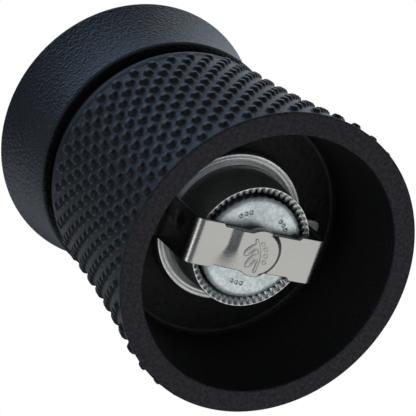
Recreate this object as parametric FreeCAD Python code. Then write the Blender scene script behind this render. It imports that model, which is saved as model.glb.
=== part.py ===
import FreeCAD, Part
import math
import os

# Compact cast-iron table mill, standing on its open cup, head upwards.
# Millimetres.  Origin: centre of the base rim, +Z along the shaft towards the head.
# The bracket that spans the cup lies along X.

Vector = FreeCAD.Vector
UP = Vector(0, 0, 1)

# ---- driving dimensions: body casting ----
BASE_R = 33.5
RIM_INNER_R = 28.6
RIM_EDGE = 0.5
BAND_R = 33.4
BAND_Z = 2.2
WAIST_R = 30.45
WAIST_Z = 26.0
SHOULDER_R = 28.55
SHOULDER_Z = 51.5
SHOULDER_MID_R = 28.1
SHOULDER_MID_Z = 53.4
SHOULDER_END_R = 27.3
SHOULDER_END_Z = 54.4
NECK_R = 26.4
NECK_FOOT_Z = 54.6
NECK_TOP_Z = 57.0
FLOOR_R = 25.5
FLOOR_Z = 23.06
FLOOR_FILLET = 0.7
STATOR_BORE_R = 14.45
FUNNEL_FOOT_Z = 27.0
FUNNEL_TOP_Z = 33.0
CHAMBER_R = 23.0
MOUTH_R = 24.0
MOUTH_FOOT_Z = 50.0
NECK_BUSH_T = 1.0
FOOT_PAD_R = 3.4
TAPPED_R = 1.25
TAPPED_DEPTH = 4.6

# ---- driving dimensions: grinding set ----
FLANGE_R = 16.7
FLANGE_FACE_Z = 20.84
STATOR_FRONT_Z = 9.8
STATOR_FRONT_R = 13.47
STATOR_REAR_R = 14.18
STATOR_TOP_Z = 29.5
FINE_TOP_Z = 15.0
STATOR_TEETH = 55
STATOR_TWIST = 8.5
STATOR_CORE_R = 8.0
RIB_TWIST = 25.0
GROOVE_RADII = (15.2, 15.9)
GROOVE = 0.12
MOUTH_CHAMFER_R = 13.2
MOUTH_CHAMFER_END_R = 11.7
MOUTH_CHAMFER_DEPTH = 1.4
NOTCH_X = 15.0
ROTOR_TEETH = 40
ROTOR_TWIST = 14.0
BLADE_TWIST = 75.0
STATOR_RIBS = 12
ROTOR_BLADES = 6
ROTOR_FACE_R = 11.26
ROTOR_FACE_Z = 9.4
ROTOR_TOP_Z = 24.6
SHAFT_SIDE = 5.0
SHAFT_CORNER_R = 3.4
SHAFT_FIT = 0.02
THREAD_R = 2.5
SQUARE_TOP_Z = 72.0
SHAFT_TOP_Z = 78.0
PIVOT_END_Z = 7.7
PIVOT_WASHER_T = 0.4
BUSH_R = 4.3
BUSH_FLANGE_R = 5.4
BUSH_FLANGE_Z = 28.5
BRIDGE_T = 1.2
BRIDGE_RING_R = 13.0
BRIDGE_BAR_HALF = 2.3
BRIDGE_BOSS_R = 5.6
PIVOT_R = 2.3
SPRING_WIRE_R = 0.35
SPRING_COIL_R = 4.5
SPRING_TURNS = 2.5

# ---- driving dimensions: bracket ----
STRIP_FACE_Z = 7.0
STRIP_T = 1.0
STRIP_HALF_WIDTH = 5.0
NARROW_HALF_WIDTH = 4.35
NARROW_HALF_LENGTH = 9.2
BOSS_R = 5.2
BOSS_RISE = 1.0
BOSS_RECESS_R = 4.1
LEG_X = 15.9
LEG_SPLAY = 0.35
FOOT_FACE_Z = 21.0
FOOT_END_X = 21.3
BEND_R = 1.9
SCREW_X = 19.45
FOOT_SCREW_HEAD_R = 1.8

# ---- driving dimensions: head and knob ----
HEAD_RIM_Z = 56.75
HEAD_RIM_R = 29.06
HEAD_WAIST_R = 29.3
HEAD_WAIST_Z = 65.0
HEAD_EDGE_R = 31.43
HEAD_EDGE_Z = 77.07
HEAD_TOP_Z = 78.0
DISH_R = 29.4
PAD_R = 8.2
PAD_Z = 75.0
SKIRT_INNER_R = 26.9
SHELF_Z = 60.0
CAVITY_R = 22.0
CAVITY_TOP_Z = 71.5
HEAD_BORE_R = 3.7
PLUG_FOOT_Z = 52.0
PLUG_INNER_R = 20.4
PLUG_CEILING_Z = 66.0
PLUG_SCREW_R = 14.5
PLUG_SCREWS = 3
PLATE_R = 9.4
PLATE_HALF_WIDTH = 6.0
PLATE_T = 1.4
PLATE_SCREW_X = 6.6
PLUG_WALL = 1.6
PLUG_CEILING_T = 2.2
PLUG_POST_R = 3.0
SLIP_WASHER_T = 0.3
KNOB_TOP_Z = 80.0
KNOB_R = 6.6
INSERT_R = 3.7
INSERT_TOP_Z = 78.9

# ---- gaps between pieces that turn or slide ----
AXIAL_GAP = 0.05
RUNNING_GAP = 0.1

# ---- heights that follow from the dimensions above ----
SPRING_WASHER_T = 0.5
WASHER_Z = BUSH_FLANGE_Z - AXIAL_GAP - SPRING_WASHER_T
KNOB_FOOT_Z = PAD_Z + SLIP_WASHER_T + AXIAL_GAP


def point(radius, z):
    """A point of a profile that is turned about the Z axis."""
    return Vector(radius, 0, z)


def polyline(points):
    """Straight edges through the points, left open."""
    return [Part.LineSegment(a, b).toShape() for a, b in zip(points, points[1:])]


def arc(start, middle, end):
    """Circular edge through three points."""
    return Part.Arc(start, middle, end).toShape()


def corner(start, centre, end):
    """Round edge from start to end, bulging away from centre by the same radius."""
    radius = start.distanceToPoint(centre)
    chord_middle = (start + end) * 0.5
    middle = centre + (chord_middle - centre).normalize() * radius
    return arc(start, middle, end)


def dome(edge_r, edge_z, tip_z):
    """Profile arc of a spherical cap that ends on the axis at tip_z."""
    rise = tip_z - edge_z
    radius = (edge_r ** 2 + rise ** 2) / (2.0 * abs(rise))
    centre_z = tip_z - math.copysign(radius, rise)
    half_angle = math.asin(edge_r / radius) / 2.0
    middle_z = centre_z + math.copysign(radius * math.cos(half_angle), rise)
    middle = point(radius * math.sin(half_angle), middle_z)
    return arc(point(edge_r, edge_z), middle, point(0, tip_z))


def turned(edges):
    """Solid of revolution about Z from the edges of a closed profile."""
    wire = Part.Wire(Part.__sortEdges__(edges))
    return Part.Face(wire).revolve(Vector(0, 0, 0), UP, 360)


def turned_polygon(points):
    """Solid of revolution about Z from straight-sided profile points."""
    return turned(polyline(points + points[:1]))


def cylinder(radius, z0, z1, x=0.0, y=0.0):
    """Upright cylinder between two heights."""
    return Part.makeCylinder(radius, z1 - z0, Vector(x, y, z0), UP)


def ring(outer_r, inner_r, z0, z1):
    """Flat ring between two heights."""
    return cylinder(outer_r, z0, z1).cut(cylinder(inner_r, z0 - 1, z1 + 1))


def box(x0, x1, y0, y1, z0, z1):
    """Upright box between opposite corners."""
    return Part.makeBox(x1 - x0, y1 - y0, z1 - z0, Vector(x0, y0, z0))


def toothed_wire(teeth, root_r, tip_r, z, turn):
    """Closed zigzag of straight tooth flanks; turn is in degrees."""
    points = []
    for index in range(2 * teeth):
        radius = tip_r if index % 2 else root_r
        angle = math.radians(turn + 180.0 * index / teeth)
        points.append(Vector(radius * math.cos(angle), radius * math.sin(angle), z))
    return Part.Wire(polyline(points + points[:1]))


def toothed_cone(teeth, low, high, twist):
    """Solid between two zigzag sections (root_r, tip_r, z), twisted by some degrees."""
    lower = toothed_wire(teeth, low[0], low[1], low[2], 0.0)
    upper = toothed_wire(teeth, high[0], high[1], high[2], twist)
    return Part.makeLoft([lower, upper], True, True)


def square_rod(side, corner_r, z0, z1):
    """Square bar about the Z axis with its corners turned down."""
    half = side / 2.0
    return box(-half, half, -half, half, z0, z1).common(cylinder(corner_r, z0, z1))


def screw(x, y, seat_z, head_r, head_h, shank_r, shank_end_z):
    """Cross-slotted domed screw whose head hangs below seat_z and whose shank goes up."""
    head = cylinder(head_r, seat_z - head_h, seat_z)
    rim = [e for e in head.Edges if abs(e.BoundBox.ZMax - (seat_z - head_h)) < 1e-6]
    head = head.makeFillet(head_h * 0.6, rim[:1])
    slot_depth = head_h * 0.5
    half_slot = 0.3
    slot_z0 = seat_z - head_h - 0.1
    slot_z1 = seat_z - head_h + slot_depth
    reach = head_r * 0.62
    head = head.cut(box(-reach, reach, -half_slot, half_slot, slot_z0, slot_z1))
    head = head.cut(box(-half_slot, half_slot, -reach, reach, slot_z0, slot_z1))
    solid = head.fuse(cylinder(shank_r, seat_z - 0.01, shank_end_z)).removeSplitter()
    solid.translate(Vector(x, y, 0))
    return solid


# ---------------------------------------------------------------- body

def make_body_casting():
    """Cup, web and pepper chamber in one casting, with pads for the bracket's feet."""
    rim_out = [
        point(BASE_R - RIM_EDGE, 0),
        point(BASE_R, RIM_EDGE),
        point(BAND_R, BAND_Z),
    ]
    shoulder_mid = point(SHOULDER_MID_R, SHOULDER_MID_Z)
    shoulder_end = point(SHOULDER_END_R, SHOULDER_END_Z)
    edges = polyline([point(RIM_INNER_R + RIM_EDGE, 0), rim_out[0]])
    edges.append(corner(rim_out[0], point(BASE_R - RIM_EDGE, RIM_EDGE), rim_out[1]))
    edges += polyline(rim_out[1:])
    edges.append(arc(rim_out[2], point(WAIST_R, WAIST_Z), point(SHOULDER_R, SHOULDER_Z)))
    edges.append(arc(point(SHOULDER_R, SHOULDER_Z), shoulder_mid, shoulder_end))
    edges += polyline([
        shoulder_end,
        point(NECK_R, NECK_FOOT_Z),
        point(NECK_R, NECK_TOP_Z),
        point(MOUTH_R, NECK_TOP_Z),
        point(MOUTH_R, MOUTH_FOOT_Z),
        point(CHAMBER_R, MOUTH_FOOT_Z),
        point(CHAMBER_R, FUNNEL_TOP_Z),
        point(STATOR_BORE_R + 1.2, FUNNEL_FOOT_Z),
        point(STATOR_BORE_R, FUNNEL_FOOT_Z),
        point(STATOR_BORE_R, FLOOR_Z),
        point(FLOOR_R - FLOOR_FILLET, FLOOR_Z),
    ])
    wall_foot = point(FLOOR_R + 0.05, FLOOR_Z - FLOOR_FILLET)
    edges.append(corner(point(FLOOR_R - FLOOR_FILLET, FLOOR_Z),
                        point(FLOOR_R - FLOOR_FILLET, FLOOR_Z - FLOOR_FILLET), wall_foot))
    edges += polyline([wall_foot, point(RIM_INNER_R, RIM_EDGE)])
    edges += polyline([point(RIM_INNER_R, RIM_EDGE), point(RIM_INNER_R + RIM_EDGE, 0)])
    solid = turned(edges)
    for side in (-1, 1):
        pad = cylinder(FOOT_PAD_R, FOOT_FACE_Z + STRIP_T, FLOOR_Z + 1.0, x=side * SCREW_X)
        solid = solid.fuse(pad)
    for side in (-1, 1):
        tapped = cylinder(TAPPED_R, FOOT_FACE_Z, FLOOR_Z + TAPPED_DEPTH, x=side * SCREW_X)
        solid = solid.cut(tapped)
    return solid


def make_neck_bush():
    """Flanged bearing ring in the mouth of the body; the head turns on it."""
    inner_r = MOUTH_R - NECK_BUSH_T
    return turned_polygon([
        point(inner_r, MOUTH_FOOT_Z + NECK_BUSH_T),
        point(MOUTH_R, MOUTH_FOOT_Z + NECK_BUSH_T),
        point(MOUTH_R, NECK_TOP_Z),
        point(NECK_R, NECK_TOP_Z),
        point(NECK_R, NECK_TOP_Z + NECK_BUSH_T),
        point(inner_r, NECK_TOP_Z + NECK_BUSH_T),
    ])


def make_stator():
    """Fixed grinding ring: grooved flange, drafted nose, chamfered mouth, internal teeth."""
    outline = [
        point(STATOR_CORE_R, STATOR_FRONT_Z),
        point(STATOR_FRONT_R - 0.12, STATOR_FRONT_Z),
        point(STATOR_FRONT_R, STATOR_FRONT_Z + 0.12),
        point(STATOR_REAR_R, FLANGE_FACE_Z),
    ]
    for radius in GROOVE_RADII:
        outline.append(point(radius - GROOVE, FLANGE_FACE_Z))
        outline.append(point(radius, FLANGE_FACE_Z + GROOVE))
        outline.append(point(radius + GROOVE, FLANGE_FACE_Z))
    outline += [
        point(FLANGE_R - 0.3, FLANGE_FACE_Z),
        point(FLANGE_R, FLANGE_FACE_Z + 0.3),
        point(FLANGE_R, FLOOR_Z),
        point(STATOR_BORE_R, FLOOR_Z),
        point(STATOR_BORE_R, STATOR_TOP_Z),
        point(STATOR_CORE_R, STATOR_TOP_Z),
    ]
    blank = turned_polygon(outline)
    mouth_end_z = STATOR_FRONT_Z + MOUTH_CHAMFER_DEPTH
    chamfer = turned_polygon([
        point(1.0, STATOR_FRONT_Z - 1.0),
        point(MOUTH_CHAMFER_R, STATOR_FRONT_Z - 1.0),
        point(MOUTH_CHAMFER_R, STATOR_FRONT_Z),
        point(MOUTH_CHAMFER_END_R, mouth_end_z),
        point(1.0, mouth_end_z),
    ])
    fine_mouth = (12.95, 12.15, STATOR_FRONT_Z - 0.5)
    fine_throat = (11.8, 11.0, FINE_TOP_Z)
    rib_foot = (12.3, 10.7, FINE_TOP_Z - 0.1)
    rib_top = (13.2, 12.2, STATOR_TOP_Z + 0.1)
    core = cylinder(STATOR_CORE_R + 1, STATOR_FRONT_Z - 1, STATOR_TOP_Z + 1)
    fine = toothed_cone(STATOR_TEETH, fine_mouth, fine_throat, STATOR_TWIST)
    coarse = toothed_cone(STATOR_RIBS, rib_foot, rib_top, RIB_TWIST)
    solid = blank.cut(core).cut(fine).cut(coarse).cut(chamfer)
    notch_y = STRIP_HALF_WIDTH + 0.3
    for x0, x1 in ((NOTCH_X, FLANGE_R + 1), (-FLANGE_R - 1, -NOTCH_X)):
        solid = solid.cut(box(x0, x1, -notch_y, notch_y, FLANGE_FACE_Z - 1, FLOOR_Z))
    return solid


def make_feed_bridge():
    """Crossbar plate on top of the grinding ring that carries the shaft's bush."""
    z0 = STATOR_TOP_Z
    z1 = STATOR_TOP_Z + BRIDGE_T
    reach = BRIDGE_RING_R + 0.5
    plate = ring(STATOR_BORE_R, BRIDGE_RING_R, z0, z1)
    bar = box(-reach, reach, -BRIDGE_BAR_HALF, BRIDGE_BAR_HALF, z0, z1)
    plate = plate.fuse(bar).fuse(cylinder(BRIDGE_BOSS_R, z0, z1))
    return plate.removeSplitter().cut(cylinder(BUSH_R, z0 - 1, z1 + 1))


def make_bridge_bush():
    """Flanged bearing bush for the shaft, pushed up into the crossbar."""
    shaft_hole_r = SHAFT_CORNER_R + RUNNING_GAP
    return turned_polygon([
        point(shaft_hole_r, BUSH_FLANGE_Z),
        point(BUSH_FLANGE_R, BUSH_FLANGE_Z),
        point(BUSH_FLANGE_R, STATOR_TOP_Z),
        point(BUSH_R, STATOR_TOP_Z),
        point(BUSH_R, STATOR_TOP_Z + BRIDGE_T + 0.4),
        point(shaft_hole_r, STATOR_TOP_Z + BRIDGE_T + 0.4),
    ])


def bracket_path():
    """Middle line of the bent strip in the XZ plane, from foot to foot."""
    middle = STRIP_T / 2.0
    strip_z = STRIP_FACE_Z + middle
    foot_z = FOOT_FACE_Z + middle
    knee = LEG_X - middle
    ankle = knee + LEG_SPLAY
    cut = math.sqrt(0.5)
    knee_c = (knee - BEND_R, strip_z + BEND_R)
    ankle_c = (ankle + BEND_R, foot_z - BEND_R)
    half = [
        (0.0, strip_z),
        (knee_c[0], strip_z),
        (knee_c[0] + BEND_R * cut, knee_c[1] - BEND_R * cut),
        (knee, knee_c[1]),
        (ankle, ankle_c[1]),
        (ankle_c[0] - BEND_R * cut, ankle_c[1] + BEND_R * cut),
        (ankle_c[0], foot_z),
        (FOOT_END_X, foot_z),
    ]

    def at(index, side):
        return Vector(side * half[index][0], 0, half[index][1])

    def half_edges(side):
        return [
            Part.LineSegment(at(0, side), at(1, side)).toShape(),
            arc(at(1, side), at(2, side), at(3, side)),
            Part.LineSegment(at(3, side), at(4, side)).toShape(),
            arc(at(4, side), at(5, side), at(6, side)),
            Part.LineSegment(at(6, side), at(7, side)).toShape(),
        ]

    return half_edges(-1), half_edges(1)


def thickened(edge):
    """Slab of the strip's thickness and width along one straight or round edge."""
    start = edge.valueAt(edge.FirstParameter)
    tangent = edge.tangentAt(edge.FirstParameter)
    normal = tangent.cross(Vector(0, 1, 0)) * (STRIP_T / 2.0)
    across = Vector(0, STRIP_HALF_WIDTH, 0)
    corners = [
        start - normal - across,
        start + normal - across,
        start + normal + across,
        start - normal + across,
    ]
    section = Part.Face(Part.Wire(polyline(corners + corners[:1])))
    if hasattr(edge.Curve, "Radius"):
        axis = edge.Curve.Axis
        sweep = math.degrees(edge.LastParameter - edge.FirstParameter)
        return section.revolve(edge.Curve.Center, axis, sweep)
    return section.extrude(edge.valueAt(edge.LastParameter) - start)


def make_bracket():
    """Bent steel stirrup under the grinding set, with a pressed-out centre boss."""
    left, right = bracket_path()
    solid = None
    for edge in left + right:
        slab = thickened(edge)
        solid = slab if solid is None else solid.fuse(slab)
    z0 = STRIP_FACE_Z - 1
    z1 = STRIP_FACE_Z + STRIP_T + 0.4
    for y0, y1 in ((NARROW_HALF_WIDTH, 6.0), (-6.0, -NARROW_HALF_WIDTH)):
        side_cut = box(-NARROW_HALF_LENGTH, NARROW_HALF_LENGTH, y0, y1, z0, z1)
        solid = solid.cut(side_cut)
    boss = cylinder(BOSS_R, STRIP_FACE_Z - BOSS_RISE, STRIP_FACE_Z + STRIP_T)
    recess_z1 = STRIP_FACE_Z + STRIP_T + 1
    solid = solid.fuse(boss).cut(cylinder(BOSS_RECESS_R, STRIP_FACE_Z, recess_z1))
    for side in (-1, 1):
        hole = cylinder(1.4, FOOT_FACE_Z - 1, FOOT_FACE_Z + STRIP_T + 1, x=side * SCREW_X)
        solid = solid.cut(hole)
    return solid.removeSplitter()


def make_thrust_pad():
    """Small bearing disc inside the bracket's boss, under the end of the shaft."""
    return cylinder(BOSS_RECESS_R - 0.3, STRIP_FACE_Z, STRIP_FACE_Z + 0.4)


def make_bracket_screws():
    """Two domed screws through the bracket's feet into the casting."""
    pair = [screw(side * SCREW_X, 0, FOOT_FACE_Z, FOOT_SCREW_HEAD_R, 1.2, 1.2, FLOOR_Z + 4.2)
            for side in (-1, 1)]
    return Part.makeCompound(pair)


# ---------------------------------------------------------------- turning set

def make_spring_washer():
    """Washer with a square hole that turns with the shaft and seats the spring."""
    hole = square_rod(SHAFT_SIDE + 0.2, SHAFT_CORNER_R + RUNNING_GAP, WASHER_Z - 1, WASHER_Z + 2)
    return cylinder(BUSH_FLANGE_R, WASHER_Z, WASHER_Z + SPRING_WASHER_T).cut(hole)


def make_grind_spring():
    """Short coil that pushes the rotor down, away from the grinding ring."""
    height = WASHER_Z - ROTOR_TOP_Z - 2 * SPRING_WIRE_R - 2 * AXIAL_GAP
    helix = Part.makeHelix(height / SPRING_TURNS, height, SPRING_COIL_R)
    helix.translate(Vector(0, 0, ROTOR_TOP_Z + SPRING_WIRE_R + AXIAL_GAP))
    path = Part.Wire(helix.Edges)
    start = path.Edges[0].valueAt(path.Edges[0].FirstParameter)
    tangent = path.Edges[0].tangentAt(path.Edges[0].FirstParameter)
    section = Part.Wire(Part.Circle(start, tangent, SPRING_WIRE_R).toShape())
    return path.makePipeShell([section], True, True)


def make_shaft():
    """Square drive rod: peened pivot below, threaded end above."""
    rod = square_rod(SHAFT_SIDE, SHAFT_CORNER_R, ROTOR_FACE_Z - PIVOT_WASHER_T, SQUARE_TOP_Z)
    seat_z = ROTOR_FACE_Z - PIVOT_WASHER_T
    dome_z = PIVOT_END_Z + 0.7
    edges = polyline([
        point(PIVOT_R, dome_z),
        point(PIVOT_R, seat_z),
        point(0, seat_z),
        point(0, PIVOT_END_Z),
    ])
    pivot = turned(edges + [dome(PIVOT_R, dome_z, PIVOT_END_Z)])
    thread = turned_polygon([
        point(0, SQUARE_TOP_Z),
        point(THREAD_R, SQUARE_TOP_Z),
        point(THREAD_R, SHAFT_TOP_Z - 0.5),
        point(THREAD_R - 0.5, SHAFT_TOP_Z),
        point(0, SHAFT_TOP_Z),
    ])
    return rod.fuse([pivot, thread]).removeSplitter()


def make_rotor():
    """Grinding cone: flat face, fine helical teeth, then spiral blades above."""
    face = cylinder(ROTOR_FACE_R, ROTOR_FACE_Z, ROTOR_FACE_Z + 0.5)
    fine_foot = (10.95, 11.6, ROTOR_FACE_Z + 0.3)
    fine_top = (9.85, 10.5, FINE_TOP_Z - 0.3)
    blade_foot = (7.6, 9.9, FINE_TOP_Z - 0.4)
    blade_top = (5.2, 6.2, ROTOR_TOP_Z)
    fine = toothed_cone(ROTOR_TEETH, fine_foot, fine_top, ROTOR_TWIST)
    blades = toothed_cone(ROTOR_BLADES, blade_foot, blade_top, BLADE_TWIST)
    bore = square_rod(SHAFT_SIDE + 2 * SHAFT_FIT, SHAFT_CORNER_R + SHAFT_FIT,
                      ROTOR_FACE_Z - 1, ROTOR_TOP_Z + 1)
    return face.fuse([fine, blades]).removeSplitter().cut(bore)


def make_rotor_washer():
    """Washer under the rotor that the peened end of the rod holds."""
    hole = square_rod(SHAFT_SIDE + 2 * SHAFT_FIT, SHAFT_CORNER_R + SHAFT_FIT,
                      ROTOR_FACE_Z - 1, ROTOR_FACE_Z + 1)
    return cylinder(3.9, ROTOR_FACE_Z - PIVOT_WASHER_T, ROTOR_FACE_Z).cut(hole)


# ---------------------------------------------------------------- head

def plug_screw_places():
    """Centres of the screws that hold the insert in the head."""
    angles = [math.radians(90 + 360.0 * i / PLUG_SCREWS) for i in range(PLUG_SCREWS)]
    return [(PLUG_SCREW_R * math.cos(a), PLUG_SCREW_R * math.sin(a)) for a in angles]


def make_head_casting():
    """Flared cap with a dished top and a raised centre pad for the knob."""
    edge_top = point(HEAD_EDGE_R - 0.9, HEAD_TOP_Z)
    edges = polyline([point(SKIRT_INNER_R, HEAD_RIM_Z), point(HEAD_RIM_R - 0.35, HEAD_RIM_Z),
                      point(HEAD_RIM_R, HEAD_RIM_Z + 0.35)])
    edges.append(arc(point(HEAD_RIM_R, HEAD_RIM_Z + 0.35), point(HEAD_WAIST_R, HEAD_WAIST_Z),
                     point(HEAD_EDGE_R, HEAD_EDGE_Z)))
    edges.append(arc(point(HEAD_EDGE_R, HEAD_EDGE_Z),
                     point(HEAD_EDGE_R - 0.25, HEAD_TOP_Z - 0.25), edge_top))
    edges += polyline([edge_top, point(DISH_R, HEAD_TOP_Z)])
    edges.append(arc(point(DISH_R, HEAD_TOP_Z), point(20.0, PAD_Z + 0.3),
                     point(PAD_R + 0.4, PAD_Z - 0.4)))
    edges += polyline([
        point(PAD_R + 0.4, PAD_Z - 0.4),
        point(PAD_R, PAD_Z),
        point(HEAD_BORE_R, PAD_Z),
        point(HEAD_BORE_R, CAVITY_TOP_Z),
        point(CAVITY_R, CAVITY_TOP_Z),
        point(CAVITY_R, SHELF_Z),
        point(SKIRT_INNER_R, SHELF_Z),
        point(SKIRT_INNER_R, HEAD_RIM_Z),
    ])
    solid = turned(edges)
    for x, y in plug_screw_places():
        solid = solid.cut(cylinder(1.25, CAVITY_TOP_Z - 1, CAVITY_TOP_Z + 2.2, x=x, y=y))
    return solid


def make_head_plug():
    """Moulded insert of the head: spigot for the neck bush, ceiling and screw posts."""
    flange_z0 = NECK_TOP_Z + NECK_BUSH_T + AXIAL_GAP
    spigot_r = MOUTH_R - NECK_BUSH_T - RUNNING_GAP
    inner_r = CAVITY_R - PLUG_WALL
    ceiling_top_z = PLUG_CEILING_Z + PLUG_CEILING_T
    shell = turned_polygon([
        point(PLUG_INNER_R, PLUG_FOOT_Z),
        point(spigot_r, PLUG_FOOT_Z),
        point(spigot_r, flange_z0),
        point(SKIRT_INNER_R - 1.0, flange_z0),
        point(SKIRT_INNER_R - 1.0, SHELF_Z),
        point(CAVITY_R, SHELF_Z),
        point(CAVITY_R, CAVITY_TOP_Z),
        point(inner_r, CAVITY_TOP_Z),
        point(inner_r, ceiling_top_z),
        point(HEAD_BORE_R + 0.1, ceiling_top_z),
        point(HEAD_BORE_R + 0.1, PLUG_CEILING_Z),
        point(PLUG_INNER_R, PLUG_CEILING_Z),
    ])
    posts = [cylinder(PLUG_POST_R, PLUG_CEILING_Z + 2.0, CAVITY_TOP_Z, x=x, y=y)
             for x, y in plug_screw_places()]
    posts.append(ring(6.0, HEAD_BORE_R + 0.1, PLUG_CEILING_Z + 2.0, CAVITY_TOP_Z))
    solid = shell.fuse(posts).removeSplitter()
    for x, y in plug_screw_places():
        solid = solid.cut(cylinder(1.3, PLUG_CEILING_Z - 1, CAVITY_TOP_Z + 1, x=x, y=y))
    for side in (-1, 1):
        hole_x = side * PLATE_SCREW_X
        solid = solid.cut(cylinder(0.95, PLUG_CEILING_Z - 1, PLUG_CEILING_Z + 1.9, x=hole_x))
    return solid


def make_drive_plate():
    """Steel plate with the square hole that makes the rod turn with the head."""
    z0 = PLUG_CEILING_Z - PLATE_T
    plate = cylinder(PLATE_R, z0, PLUG_CEILING_Z)
    sides = box(-PLATE_R, PLATE_R, -PLATE_HALF_WIDTH, PLATE_HALF_WIDTH, z0, PLUG_CEILING_Z)
    plate = plate.common(sides)
    hole_r = SHAFT_CORNER_R + RUNNING_GAP
    plate = plate.cut(square_rod(SHAFT_SIDE + 0.2, hole_r, z0 - 1, PLUG_CEILING_Z + 1))
    for side in (-1, 1):
        plate = plate.cut(cylinder(1.05, z0 - 1, PLUG_CEILING_Z + 1, x=side * PLATE_SCREW_X))
    return plate


def make_drive_plate_screws():
    """Two small screws that hold the drive plate under the ceiling."""
    seat = PLUG_CEILING_Z - PLATE_T
    pair = [screw(side * PLATE_SCREW_X, 0, seat, 1.7, 0.9, 0.9, PLUG_CEILING_Z + 1.8)
            for side in (-1, 1)]
    return Part.makeCompound(pair)


def make_plug_screws():
    """Three screws from the insert's ceiling up into the head casting."""
    group = [screw(x, y, PLUG_CEILING_Z, 2.3, 1.3, 1.2, CAVITY_TOP_Z + 2.0)
             for x, y in plug_screw_places()]
    return Part.makeCompound(group)


def make_knob_washer():
    """Slip washer between the head's pad and the knob."""
    return ring(KNOB_R - 0.4, HEAD_BORE_R, PAD_Z, PAD_Z + SLIP_WASHER_T)


def make_knob():
    """Low turned knob with a domed top and a groove for the fingers."""
    crown_z = KNOB_TOP_Z - 0.9
    edges = polyline([
        point(INSERT_R, KNOB_FOOT_Z),
        point(KNOB_R - 0.3, KNOB_FOOT_Z),
        point(KNOB_R, KNOB_FOOT_Z + 0.3),
        point(KNOB_R, crown_z - 0.4),
        point(KNOB_R - 0.5, crown_z),
    ])
    edges.append(dome(KNOB_R - 0.5, crown_z, KNOB_TOP_Z))
    edges += polyline([
        point(0, KNOB_TOP_Z),
        point(0, INSERT_TOP_Z),
        point(INSERT_R, INSERT_TOP_Z),
        point(INSERT_R, KNOB_FOOT_Z),
    ])
    return turned(edges)


def make_knob_insert():
    """Threaded brass sleeve pressed into the knob."""
    return ring(INSERT_R, THREAD_R + RUNNING_GAP, KNOB_FOOT_Z, INSERT_TOP_Z)


PIECES = {
    "body_casting": make_body_casting,
    "neck_bush": make_neck_bush,
    "stator": make_stator,
    "feed_bridge": make_feed_bridge,
    "bridge_bush": make_bridge_bush,
    "bracket": make_bracket,
    "thrust_pad": make_thrust_pad,
    "bracket_screws": make_bracket_screws,
    "spring_washer": make_spring_washer,
    "grind_spring": make_grind_spring,
    "shaft": make_shaft,
    "rotor": make_rotor,
    "rotor_washer": make_rotor_washer,
    "head_casting": make_head_casting,
    "head_plug": make_head_plug,
    "drive_plate": make_drive_plate,
    "drive_plate_screws": make_drive_plate_screws,
    "plug_screws": make_plug_screws,
    "knob_washer": make_knob_washer,
    "knob": make_knob,
    "knob_insert": make_knob_insert,
}

os.makedirs("parts", exist_ok=True)
for name, make in PIECES.items():
    shape = make()
    shape.exportStep("parts/" + name + ".step")
    print(name, "valid", shape.isValid(), "solids", len(shape.Solids), "volume", round(shape.Volume, 1))
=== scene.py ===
import math

import bmesh
import bpy
import numpy as np
from mathutils import Matrix, Vector


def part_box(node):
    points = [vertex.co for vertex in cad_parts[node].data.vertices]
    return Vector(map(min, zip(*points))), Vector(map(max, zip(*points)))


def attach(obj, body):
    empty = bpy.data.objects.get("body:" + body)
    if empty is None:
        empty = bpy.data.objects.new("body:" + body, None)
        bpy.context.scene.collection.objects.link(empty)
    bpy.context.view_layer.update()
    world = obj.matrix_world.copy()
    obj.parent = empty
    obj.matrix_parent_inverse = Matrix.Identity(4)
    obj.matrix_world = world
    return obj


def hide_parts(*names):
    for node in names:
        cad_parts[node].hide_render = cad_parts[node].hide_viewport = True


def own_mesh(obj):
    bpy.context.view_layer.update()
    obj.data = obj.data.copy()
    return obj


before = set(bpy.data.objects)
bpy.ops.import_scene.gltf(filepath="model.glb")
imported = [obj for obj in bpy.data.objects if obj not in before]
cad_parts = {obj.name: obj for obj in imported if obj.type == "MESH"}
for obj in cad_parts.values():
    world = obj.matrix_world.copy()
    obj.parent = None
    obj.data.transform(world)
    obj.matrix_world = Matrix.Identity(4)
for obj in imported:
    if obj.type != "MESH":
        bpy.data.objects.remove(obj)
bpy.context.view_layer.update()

MM = 0.001
TAU = 2.0 * math.pi

# ---------------------------------------------------------------- sizes from the frame

_, body_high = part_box("body_casting")
head_low, head_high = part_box("head_casting")
stator_low, stator_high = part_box("stator")
bracket_low, bracket_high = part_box("bracket")
rotor_low, rotor_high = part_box("rotor")
knob_low, knob_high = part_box("knob")

BASE_R = body_high.x
NECK_TOP_Z = body_high.z
HEAD_RIM_Z = head_low.z
HEAD_TOP_Z = head_high.z
HEAD_EDGE_R = head_high.x

# Body casting, outside: base rim, the band above it, the outline's (r, z) at waist and shoulder,
# and the neck.
RIM_INNER_R = BASE_R - 4.9 * MM
EDGE_R = 0.5 * MM
BAND_Z = 2.2 * MM
BAND_R = BASE_R - 0.1 * MM
WAIST = (30.45 * MM, 26.0 * MM)
SHOULDER = (28.55 * MM, 51.5 * MM)
NECK_R = 26.4 * MM
NECK_FOOT_Z = 54.6 * MM
SHOULDER_TOP = (NECK_R + 0.9 * MM, 54.4 * MM)

# Body casting, inside: the cup's floor, which is its ceiling as the mill stands, the bore of the
# grinding ring, the funnel, the pepper chamber and the seat of the neck bush.
FLOOR_R = 25.5 * MM
FLOOR_Z = 23.06 * MM
BORE_R = 14.45 * MM
FUNNEL_Z = 27.0 * MM
CHAMBER_R = 23.0 * MM
CHAMBER_FLOOR_Z = 33.0 * MM
SEAT_R = 24.0 * MM
SEAT_Z = 50.0 * MM

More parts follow.
